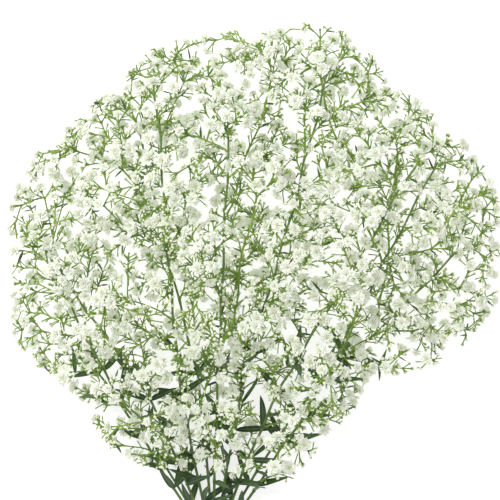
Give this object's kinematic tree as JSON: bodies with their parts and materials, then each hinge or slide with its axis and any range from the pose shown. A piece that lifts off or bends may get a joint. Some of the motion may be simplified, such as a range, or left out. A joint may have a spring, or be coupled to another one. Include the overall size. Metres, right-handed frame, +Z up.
{
  "type": "gypsophila bunch",
  "caption": "Cut bunch of double-flowered gypsophila, bound near its cut ends with an elastic band and lying on its side.",
  "frame": {"origin": "On the floor, under the middle of the bunch's bounding box.", "axes": "+Y runs from the cut ends towards the tips of the crown, +X to the right seen from above, +Z up from the floor."},
  "size_m": [0.4168, 0.585, 0.1592],
  "materials": {
    "flowering_stem": "matte, green stems with white flowers",
    "band": "matte natural rubber"
  },
  "bodies": {
    "root": {"stem_1": "flowering_stem", "stem_2": "flowering_stem", "stem_3": "flowering_stem", "stem_4": "flowering_stem", "stem_5": "flowering_stem", "stem_6": "flowering_stem", "stem_7": "flowering_stem", "stem_8": "flowering_stem", "stem_9": "flowering_stem", "stem_10": "flowering_stem", "band": "band"}
  },
  "joints": []
}
